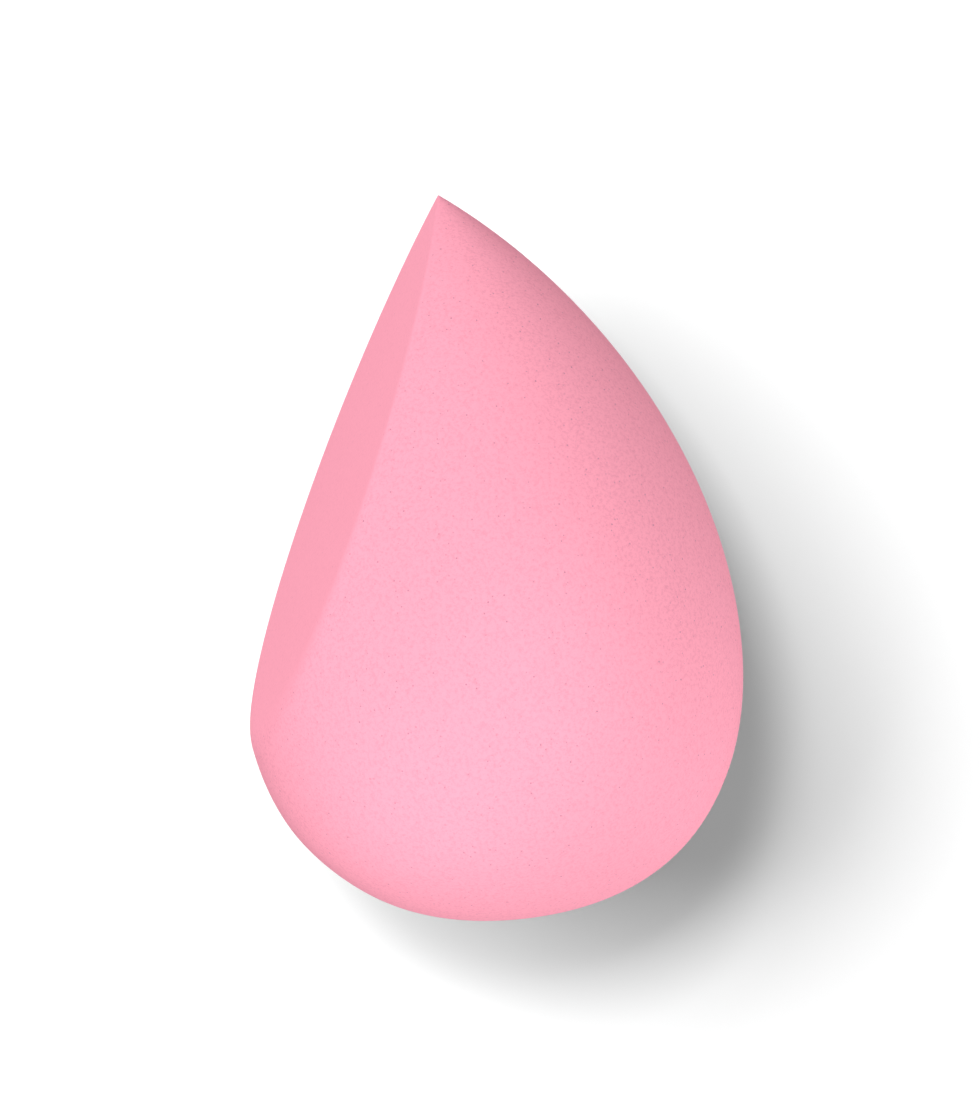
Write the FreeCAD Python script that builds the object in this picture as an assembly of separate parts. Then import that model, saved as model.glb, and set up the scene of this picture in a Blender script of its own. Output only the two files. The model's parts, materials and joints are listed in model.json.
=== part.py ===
import FreeCAD, Part
import math
import os
from FreeCAD import Vector

# Teardrop makeup sponge, one piece of open-cell polyurethane foam, as it lies on its side on a table.
# The origin is the middle of the patch that the foam rests on, +Z is up, and +Y runs along the sponge's
# own axis towards the tip. Sizes are in millimetres and angles in degrees.

# Teardrop
LENGTH = 60.0           # from the round base to the tip
BULB_DIAMETER = 41.34   # across the widest ring
BULB_STATION = 38.7     # from the tip to the widest ring, along the axis
TIP_HALF_ANGLE = 53.2   # between the axis and the flank at the tip

# Fullness of the outline: each control handle's length as a share of the span that its curve crosses
TIP_FULLNESS = 0.34            # of the straight line from the tip to the widest ring
SHOULDER_FULLNESS = 0.376      # of the axial distance from the tip to the widest ring
BASE_SIDE_FULLNESS = 0.606     # of the axial distance from the widest ring to the base
BASE_END_FULLNESS = 0.65       # of the radius of the widest ring

# Slanted flat, sliced off from the tip to just past the widest ring
FLAT_SLANT = 25.7       # between the flat and the axis
FLAT_ROLL = 11.8        # how far the flat is rolled up from facing straight to the side
FLAT_SETBACK = 0.05     # from the tip down the axis to where the slice enters

# Patch where the soft foam gives way under its own weight
REST_DEPTH = 0.5

UP = Vector(0, 0, 1)
AXIS = Vector(0, 1, 0)
bulb_radius = BULB_DIAMETER / 2
base_height = LENGTH - BULB_STATION
bulb_centre = UP * (bulb_radius - REST_DEPTH)
tip = bulb_centre + AXIS * BULB_STATION
base = bulb_centre - AXIS * base_height


def bezier(*poles):
    """One Bezier edge through its end poles, pulled by the poles between them."""
    curve = Part.BezierCurve()
    curve.setPoles(list(poles))
    return curve.toShape()


def teardrop():
    """The sponge before slicing: one meridian, pointed at the tip and round at the base, turned about the axis."""
    out = Vector(1, 0, 0)
    widest = bulb_centre + out * bulb_radius
    half_angle = math.radians(TIP_HALF_ANGLE)
    tip_handle = TIP_FULLNESS * (widest - tip).Length
    tip_direction = out * math.sin(half_angle) - AXIS * math.cos(half_angle)
    flank = bezier(
        tip,
        tip + tip_direction * tip_handle,
        widest + AXIS * (SHOULDER_FULLNESS * BULB_STATION),
        widest,
    )
    round_base = bezier(
        widest,
        widest - AXIS * (BASE_SIDE_FULLNESS * base_height),
        base + out * (BASE_END_FULLNESS * bulb_radius),
        base,
    )
    middle = Part.LineSegment(base, tip).toShape()
    meridian = Part.Face(Part.Wire([flank, round_base, middle]))
    return meridian.revolve(bulb_centre, AXIS, 360)


def waste(point, normal):
    """A block that holds everything of the sponge on the far side of a plane, to be sliced away."""
    reach = LENGTH + BULB_DIAMETER
    block = Part.makeBox(2 * reach, 2 * reach, reach, Vector(-reach, -reach, 0))
    block.Placement = FreeCAD.Placement(point, FreeCAD.Rotation(UP, normal))
    return block


def foam_body():
    """The sponge with its slanted flat and with the patch that it rests on."""
    slant = math.radians(FLAT_SLANT)
    roll = math.radians(FLAT_ROLL)
    flat_side = Vector(-math.cos(roll), 0, math.sin(roll))
    flat_normal = flat_side * math.cos(slant) + AXIS * math.sin(slant)
    sliced = teardrop().cut(waste(tip - AXIS * FLAT_SETBACK, flat_normal))
    rested = sliced.cut(waste(Vector(0, 0, 0), UP * -1))
    return rested.Solids[0]


os.makedirs("parts", exist_ok=True)
sponge = foam_body()
sponge.exportStep("parts/foam_body.step")
print("foam_body:", "valid" if sponge.isValid() else "not valid", round(sponge.Volume), "cubic mm")
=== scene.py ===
import json
import math

import bpy
import numpy as np
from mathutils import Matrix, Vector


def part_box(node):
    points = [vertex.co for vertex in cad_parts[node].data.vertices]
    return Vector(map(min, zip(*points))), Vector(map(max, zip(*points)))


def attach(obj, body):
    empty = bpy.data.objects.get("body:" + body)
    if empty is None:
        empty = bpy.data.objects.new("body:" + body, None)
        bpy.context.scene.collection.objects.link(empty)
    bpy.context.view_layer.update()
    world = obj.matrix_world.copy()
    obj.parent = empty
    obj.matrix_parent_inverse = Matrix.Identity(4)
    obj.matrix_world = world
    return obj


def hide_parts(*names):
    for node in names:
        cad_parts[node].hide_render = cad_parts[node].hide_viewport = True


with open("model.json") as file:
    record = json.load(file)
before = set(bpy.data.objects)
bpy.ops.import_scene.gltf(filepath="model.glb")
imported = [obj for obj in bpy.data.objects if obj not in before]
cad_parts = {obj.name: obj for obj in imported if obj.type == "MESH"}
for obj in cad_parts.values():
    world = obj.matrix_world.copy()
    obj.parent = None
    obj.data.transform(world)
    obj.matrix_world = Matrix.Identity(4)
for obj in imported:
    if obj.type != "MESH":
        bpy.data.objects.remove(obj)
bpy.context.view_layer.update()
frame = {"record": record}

# Sponge: one block of soft open-cell polyurethane foam, ground to a teardrop and then sliced once with a
# blade, at a slant, to leave the flat on its side. It is the same foam all the way through, and it gives
# way a little where it lies on the table.

scene = bpy.context.scene
MM = 0.001

foam_low, foam_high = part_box("foam_body")
flat_mount = next(m for m in frame["record"]["mounts"] if m["name"] == "slanted_flat")

bulb_radius = foam_high.x
axis_height = foam_high.z - bulb_radius
tip_y = foam_high.y
base_y = foam_low.y

# Outline: the angle of the flank at the tip, and how far each curve is pulled, as a share of its span.
TIP_HALF_ANGLE = math.radians(53.2)
TIP_FULLNESS = 0.34
SHOULDER_FULLNESS = 0.376
BASE_SIDE_FULLNESS = 0.606
BASE_END_FULLNESS = 0.65

# How wide the flat's rim is softened, crisp at the tip and rounder at the bulb, and the edge of the patch.
RIM_AT_TIP = 0.08 * MM
RIM_HALFWAY = 0.30 * MM
RIM_AT_BULB = 0.90 * MM
PATCH_EDGE = 0.5 * MM


def bezier(poles, steps=3000):
    """Cubic Bezier: four poles weighted by (1-t)^3, 3t(1-t)^2, 3t^2(1-t) and t^3, for t from 0 to 1."""
    t = np.linspace(0, 1, steps)[:, None]
    weights = np.hstack([(1 - t) ** 3, 3 * t * (1 - t) ** 2, 3 * t ** 2 * (1 - t), t ** 3])
    return weights @ np.array(poles)


tip_handle = TIP_FULLNESS * math.hypot(tip_y, bulb_radius)
flank = bezier([
    (tip_y, 0),
    (tip_y - tip_handle * math.cos(TIP_HALF_ANGLE), tip_handle * math.sin(TIP_HALF_ANGLE)),
    (SHOULDER_FULLNESS * tip_y, bulb_radius),
    (0, bulb_radius),
])
round_base = bezier([
    (0, bulb_radius),
    (BASE_SIDE_FULLNESS * base_y, bulb_radius),
    (base_y, BASE_END_FULLNESS * bulb_radius),
    (base_y, 0),
])
outline = np.vstack([flank, round_base[1:]])[::-1]
outline_y, outline_radius = outline.T
step_y, step_radius = np.gradient(outline_y), np.gradient(outline_radius)
outline_tilt = np.abs(step_y) / np.hypot(step_y, step_radius)

flat_point = np.array(flat_mount["pos_m"])
flat_normal = np.array(flat_mount["axis"]) / np.linalg.norm(flat_mount["axis"])
flat_up = np.array([0, 1, 0]) - flat_normal[1] * flat_normal
flat_up /= np.linalg.norm(flat_up)
flat_side = np.cross(flat_normal, flat_up)


def soft_corner(a, b, width):
    """The larger of two distances, plus h^2 / 4w where they differ by less than w, with h = w - |a - b|."""
    overlap = np.maximum(width - np.abs(a - b), 0)
    return np.maximum(a, b) + overlap ** 2 / (4 * width)


def skin_distance(p):
    """How far a point is outside the teardrop: its distance from the axis less the outline's radius, times
    the outline's slope there, or how far it is past the tip or the base."""
    from_axis = np.hypot(p[..., 0], p[..., 2] - axis_height)
    y = p[..., 1]
    skin = (from_axis - np.interp(y, outline_y, outline_radius)) * np.interp(y, outline_y, outline_tilt)
    return np.maximum.reduce([skin, y - tip_y, base_y - y])


def foam_distance(p):
    """How far a point is outside the sponge: outside the teardrop, past the flat or under the table, with
    the flat's rim crisp at the tip and softer towards the bulb."""
    rim = np.interp(p[..., 1], [0, tip_y / 2, tip_y], [RIM_AT_BULB, RIM_HALFWAY, RIM_AT_TIP])
    sliced = soft_corner(skin_distance(p), (p - flat_point) @ flat_normal, rim)
    return soft_corner(sliced, -p[..., 2], PATCH_EDGE)


def way_out(start, direction, distance, reach=80 * MM, halvings=40):
    """How far along each direction the distance turns positive, found by halving the span that is left."""
    near = np.zeros(direction.shape[:-1])
    far = np.full(direction.shape[:-1], reach)
    for _ in range(halvings):
        middle = (near + far) / 2
        outside = distance(start + direction * middle[..., None]) > 0
        far = np.where(outside, middle, far)
        near = np.where(outside, near, middle)
    return far


# The skin is a grid of rays from a point inside. Columns turn about the flat's normal, closer together
# towards the tip, and rows run from the far side to the rim and on to the middle of the flat.
COLUMNS = 448
BODY_ROWS = 152
FLAT_ROWS = 52
HEART_DEPTH = 14 * MM
CROWDING_AT_TIP = 0.45
CROWDING_AT_RIM = 0.75

heart = flat_point - flat_normal * HEART_DEPTH
column = np.linspace(0, 2 * np.pi, COLUMNS, endpoint=False)
turn = column - CROWDING_AT_TIP * np.sin(column)
outward = np.cos(turn)[:, None] * flat_up + np.sin(turn)[:, None] * flat_side
rim_reach = way_out(flat_point, outward, skin_distance)


def crowded(rows):
    """Shares from 0 to 1, closer together towards 1: x + c sin(pi x) / pi."""
    x = np.linspace(0, 1, rows + 1)[1:, None]
    return x + CROWDING_AT_RIM * np.sin(np.pi * x) / np.pi


rim_angle = np.pi - np.arctan2(rim_reach, HEART_DEPTH)
body_angle = rim_angle * crowded(BODY_ROWS)
flat_angle = np.pi - np.arctan2(rim_reach * crowded(FLAT_ROWS)[-2::-1], HEART_DEPTH)
angle = np.vstack([body_angle, flat_angle])[..., None]
rays = np.sin(angle) * outward - np.cos(angle) * flat_normal
rays = np.vstack([rays.reshape(-1, 3), -flat_normal, flat_normal])
points = heart + rays * way_out(heart, rays, foam_distance)[:, None]

# The base was ground a little off its axis: it leans to the side, more and more towards its end.
LEAN_START = -12 * MM
BASE_LEAN = 0.42 * MM
LEAN_POWER = 1.5
lean_share = np.clip((LEAN_START - points[:, 1]) / (LEAN_START - base_y), 0, 1)
points[:, 0] += BASE_LEAN * lean_share ** LEAN_POWER

# It is also a touch flatter on the side of the slice, where it is pushed in by a bell curve.
DIP_CENTRE = np.array([-14.9 * MM, -15.8 * MM, axis_height])
DIP_NORMAL = np.array([-0.71, -0.70, 0.0])
DIP_WIDTH = 3.8 * MM
DIP_DEPTH = 0.19 * MM
dip_share = np.exp(-np.sum((points - DIP_CENTRE) ** 2, axis=1) / (2 * DIP_WIDTH ** 2))
points -= DIP_DEPTH * dip_share[:, None] * DIP_NORMAL

rows = BODY_ROWS + FLAT_ROWS - 1
index = np.arange(rows * COLUMNS).reshape(rows, COLUMNS)
after = np.roll(index, -1, axis=1)
far_pole, flat_pole = rows * COLUMNS, rows * COLUMNS + 1
quads = np.stack([index[:-1], after[:-1], after[1:], index[1:]], axis=-1).reshape(-1, 4)
far_fan = np.stack([np.full(COLUMNS, far_pole), after[0], index[0]], axis=-1)
flat_fan = np.stack([np.full(COLUMNS, flat_pole), index[-1], after[-1]], axis=-1)

sponge_mesh = bpy.data.meshes.new("sponge")
sponge_mesh.from_pydata(points.tolist(), [], quads.tolist() + far_fan.tolist() + flat_fan.tolist())
sponge_mesh.shade_smooth()
sponge = bpy.data.objects.new("sponge", sponge_mesh)
scene.collection.objects.link(sponge)

# How far each point belongs to the sliced flat: 1 on it, falling to 0 just round its rim.
SLICE_FADE = 0.4 * MM
sliced_share = np.clip(1 + ((points - flat_point) @ flat_normal) / SLICE_FADE, 0, 1)
sponge_mesh.attributes.new("sliced", "FLOAT", "POINT").data.foreach_set("value", sliced_share)


def linear(hex_colour):
    """sRGB hex to linear red, green, blue and alpha: v / 12.92 when dark, else ((v + 0.055) / 1.055)^2.4."""
    v = np.array([int(hex_colour[i:i + 2], 16) for i in (1, 3, 5)]) / 255
    rgb = np.where(v <= 0.04045, v / 12.92, ((v + 0.055) / 1.055) ** 2.4)
    return (*rgb.tolist(), 1.0)


def add(tree, kind, inputs=None, **settings):
    """Adds a node with its settings. An input is either another node's output, to link, or a value."""
    node = tree.nodes.new(kind)
    for name, value in settings.items():
        setattr(node, name, value)
    for name, value in (inputs or {}).items():
        if isinstance(value, bpy.types.NodeSocket):
            tree.links.new(value, node.inputs[name])
        else:
            node.inputs[name].default_value = value
    return node


# Polyurethane foam with very fine open cells, ground and sliced, dead matte. The ground skin has a velvety
# grain with cut cells in it as sparse pinholes, no two equally deep. The grain's hollows and the pinholes
# are painted darker, as painted shade. The sliced flat is closer and smoother.
# Grain and pinholes are as coarse as the photo shows them, and finer cells are left out.
FOAM_PINK = linear("#FAA3B7")
# The grain's pink is painted shade: the hollows of the grain are mixed towards it.
GRAIN_SHADE_PINK = linear("#ED96AA")
# The pore pink is painted shade: the pinholes are mixed towards it, most at their cores and in the deepest
# ones.
PORE_SHADE_PINK = linear("#B5788C")
PORE_SPACING = 0.42 * MM
PORE_RADIUS = 0.10 * MM
PORE_CORE = 0.3             # share of the radius that is fully dark
PORE_CHANCE = (0.5, 0.95)   # random value at which a cell starts to show and is deepest
GRAIN_SIZE = 0.26 * MM
HOLLOW_NOISE = (0.3, 0.55)  # grain value at the bottom of a hollow and at its edge
RELIEF = 0.015 * MM
FLAT_SHARE = 0.4            # how much of the grain and the pinholes the sliced flat shows

foam = bpy.data.materials.new("open_cell_polyurethane_foam")
foam.use_nodes = True
tree = foam.node_tree
tree.nodes.clear()
place = add(tree, "ShaderNodeTexCoord").outputs["Object"]
sliced = add(tree, "ShaderNodeAttribute", attribute_name="sliced").outputs["Fac"]
openness = add(tree, "ShaderNodeMapRange", {
    "Value": sliced, "To Min": 1.0, "To Max": FLAT_SHARE,
}).outputs[0]
cells = add(tree, "ShaderNodeTexVoronoi", {"Vector": place, "Scale": 1 / PORE_SPACING})
hole = add(tree, "ShaderNodeMapRange", {
    "Value": cells.outputs["Distance"],
    "From Min": PORE_CORE * PORE_RADIUS / PORE_SPACING,
    "From Max": PORE_RADIUS / PORE_SPACING,
    "To Min": 1.0,
    "To Max": 0.0,
}, interpolation_type="SMOOTHSTEP").outputs[0]
depth = add(tree, "ShaderNodeMapRange", {
    "Value": cells.outputs["Color"], "From Min": PORE_CHANCE[0], "From Max": PORE_CHANCE[1],
}).outputs[0]
pores = add(tree, "ShaderNodeMath", {0: hole, 1: depth}, operation="MULTIPLY").outputs[0]
painted_pore_shade = add(tree, "ShaderNodeMath", {0: pores, 1: openness}, operation="MULTIPLY").outputs[0]
grain = add(tree, "ShaderNodeTexNoise", {
    "Vector": place, "Scale": 1 / GRAIN_SIZE, "Detail": 2.0, "Roughness": 0.8,
}).outputs["Fac"]
hollow_shade = add(tree, "ShaderNodeMapRange", {
    "Value": grain,
    "From Min": HOLLOW_NOISE[0],
    "From Max": HOLLOW_NOISE[1],
    "To Min": 1.0,
    "To Max": 0.0,
}).outputs[0]
painted_hollow_shade = add(tree, "ShaderNodeMath", {0: hollow_shade, 1: openness}, operation="MULTIPLY").outputs[0]
# Painted shade: the grain's hollows, where the relief is low, are mixed towards a darker pink.
grain_with_painted_shade = add(tree, "ShaderNodeMix", {"Factor": painted_hollow_shade, "A": FOAM_PINK, "B": GRAIN_SHADE_PINK},
              data_type="RGBA").outputs["Result"]
# Painted shade: the pinholes are mixed towards a dark pink, the deeper ones darker.
colour = add(tree, "ShaderNodeMix", {"Factor": painted_pore_shade, "A": grain_with_painted_shade, "B": PORE_SHADE_PINK},
             data_type="RGBA").outputs["Result"]
relief = add(tree, "ShaderNodeMath", {0: grain, 1: pores}, operation="SUBTRACT").outputs[0]
bump = add(tree, "ShaderNodeBump", {"Height": relief, "Strength": openness, "Distance": RELIEF})
shader = add(tree, "ShaderNodeBsdfPrincipled", {
    "Base Color": colour,
    "Roughness": 1.0,
    "Specular IOR Level": 0.05,
    "Normal": bump.outputs["Normal"],
})
add(tree, "ShaderNodeOutputMaterial", {"Surface": shader.outputs["BSDF"]})
sponge_mesh.materials.append(foam)

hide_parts("foam_body")
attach(sponge, "root")

# Table: a wide white board under the sponge, a hair lower than the patch that the foam rests on. It isn't
# part of the object. It throws little light back up, and the sponge throws no pink glow on it.
TABLE_SIDE = 3.0
TABLE_GAP = 0.02 * MM
BOARD_WHITE = linear("#F2F2F2")
BOARD_BOUNCE = linear("#A0A0A0")
half_side = TABLE_SIDE / 2
table_mesh = bpy.data.meshes.new("table")
table_mesh.from_pydata([(x, y, -TABLE_GAP) for x, y in (
    (-half_side, -half_side), (half_side, -half_side), (half_side, half_side), (-half_side, half_side),
)], [], [(0, 1, 2, 3)])
table = bpy.data.objects.new("table", table_mesh)
scene.collection.objects.link(table)
board = bpy.data.materials.new("white_matte_board")
board.use_nodes = True
tree = board.node_tree
tree.nodes.clear()
path = add(tree, "ShaderNodeLightPath")
face = add(tree, "ShaderNodeMix", {
    "Factor": path.outputs["Is Camera Ray"], "A": BOARD_BOUNCE, "B": BOARD_WHITE,
}, data_type="RGBA")
face_shader = add(tree, "ShaderNodeBsdfDiffuse", {"Color": face.outputs["Result"]})
add(tree, "ShaderNodeOutputMaterial", {"Surface": face_shader.outputs["BSDF"]})
table_mesh.materials.append(board)
sponge.visible_diffuse = False

# Light: six soft panels round the sponge and a white surround that only the camera sees. A panel is given
# by where it stands, its size and how bright a white card facing it is. The sponge and the board have two
# upper panels each, as in a picture put together from two exposures, and share the low ones.


def soft_panel(name, azimuth, elevation, width, height, level, only=None, distance=0.9):
    """A flat lamp that faces the sponge and lights everything, or one object only. A white card facing it
    returns P / (pi d)^2 of its power P."""
    a, e = math.radians(azimuth), math.radians(elevation)
    away = np.array([math.cos(e) * math.cos(a), math.cos(e) * math.sin(a), math.sin(e)])
    lamp = bpy.data.lights.new(name, "AREA")
    lamp.shape = "RECTANGLE"
    lamp.size = width
    lamp.size_y = height
    lamp.energy = level * (math.pi * distance) ** 2
    holder = bpy.data.objects.new(name, lamp)
    holder.rotation_euler = (math.pi / 2 - e, 0, a + math.pi / 2)
    holder.location = away * distance + np.array([0, 0, axis_height])
    scene.collection.objects.link(holder)
    if only:
        lit = bpy.data.collections.new(name + "_lights")
        lit.objects.link(only)
        holder.light_linking.receiver_collection = lit


soft_panel("sponge_key", azimuth=156, elevation=45, width=0.90, height=0.55, level=1.21, only=sponge)
soft_panel("sponge_top", azimuth=310, elevation=66, width=0.30, height=0.30, level=0.43, only=sponge)
soft_panel("board_key", azimuth=148.5, elevation=50, width=0.90, height=0.55, level=1.33, only=table)
soft_panel("board_top", azimuth=113.5, elevation=72, width=0.20, height=0.20, level=0.41, only=table)
soft_panel("low_panel", azimuth=291.5, elevation=16, width=0.75, height=0.30, level=0.72)
soft_panel("side_panel", azimuth=31, elevation=12, width=0.36, height=0.36, level=0.41)

world = bpy.data.worlds.new("white_surround")
world.use_nodes = True
surround = world.node_tree
path = add(surround, "ShaderNodeLightPath")
surround.nodes["Background"].inputs["Color"].default_value = linear("#FFFFFF")
surround.links.new(path.outputs["Is Camera Ray"], surround.nodes["Background"].inputs["Strength"])
scene.world = world

# Camera: straight above the table with a long lens, so that the sponge shows hardly any perspective. It is
# turned so that the tip leans to the left, and aimed a little past the widest ring, towards the tip.
CAMERA_AIM = (0.93 * MM, 8.89 * MM)
CAMERA_DISTANCE = 600 * MM
CAMERA_TURN = math.radians(6.5)
VIEW_HEIGHT = 91.04 * MM
lens = bpy.data.cameras.new("camera")
lens.lens = lens.sensor_width * CAMERA_DISTANCE / VIEW_HEIGHT
lens.clip_start = 10 * MM
camera = bpy.data.objects.new("camera", lens)
camera.location = (*CAMERA_AIM, axis_height + CAMERA_DISTANCE)
camera.rotation_euler = (0, 0, -CAMERA_TURN)
scene.collection.objects.link(camera)
scene.camera = camera
scene.view_settings.view_transform = "Standard"
